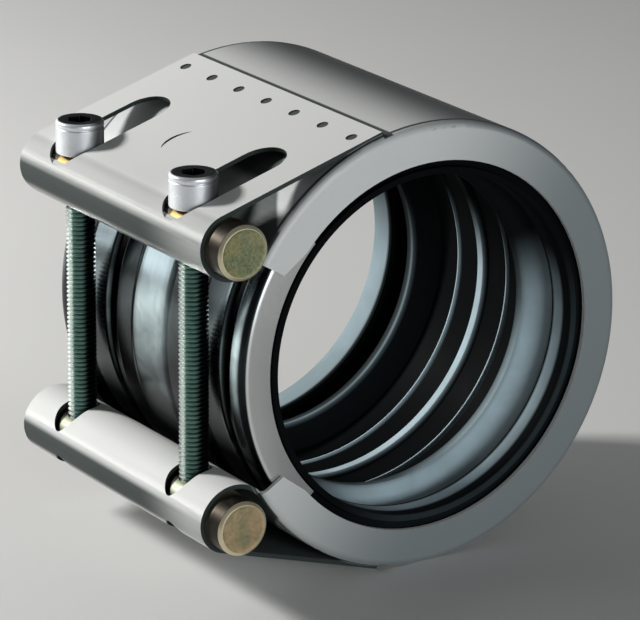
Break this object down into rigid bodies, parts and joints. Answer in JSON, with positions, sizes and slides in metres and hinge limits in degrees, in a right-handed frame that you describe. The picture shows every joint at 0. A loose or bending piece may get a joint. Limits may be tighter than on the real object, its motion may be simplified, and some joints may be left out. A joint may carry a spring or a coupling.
{
  "type": "flexible pipe coupling",
  "caption": "Split sheet-metal pipe coupling with a rubber sealing sleeve, a ribbed bridge plate over the gap and a screw lock with round bars.",
  "frame": {"origin": "middle of the pipe's way through, on its axis", "axes": "+X along the pipe towards the end nearest the camera, -Y towards the lock, +Z from the lower bar to the upper bar"},
  "size_m": [0.1021, 0.1316, 0.123],
  "materials": {
    "stainless_sheet": "satin",
    "black_rubber": "smooth moulded",
    "yellow_plated_steel": "zinc plated, yellow passivated",
    "bright_plated_steel": "zinc plated, bright"
  },
  "bodies": {
    "casing": {"casing": "stainless_sheet", "bridge_plate": "stainless_sheet", "sealing_sleeve": "black_rubber", "upper_bar": "yellow_plated_steel"},
    "lower_bar": {"lower_bar": "yellow_plated_steel"},
    "screw_far": {"screw_far": "bright_plated_steel"},
    "screw_near": {"screw_near": "bright_plated_steel"}
  },
  "joints": [
    {"name": "screw_far_turn", "type": "hinge", "parent": "casing", "child": "screw_far", "pos_m": [-0.029, -0.06135, 0.0441], "axis": [0, 0, -1], "range_deg": [0, 2160]},
    {"name": "screw_near_turn", "type": "hinge", "parent": "casing", "child": "screw_near", "pos_m": [0.029, -0.06135, 0.0441], "axis": [0, 0, -1], "range_deg": [0, 2160]},
    {"name": "bar_draw", "type": "slide", "parent": "casing", "child": "lower_bar", "axis": [0, 0, 1], "range_m": [0, 0.0075], "deforming": ["casing"]}
  ],
  "couplings": [
    {"joint": "screw_near_turn", "follows": "bar_draw", "rad_per_m": 5026.5},
    {"joint": "screw_far_turn", "follows": "bar_draw", "rad_per_m": 5026.5}
  ]
}
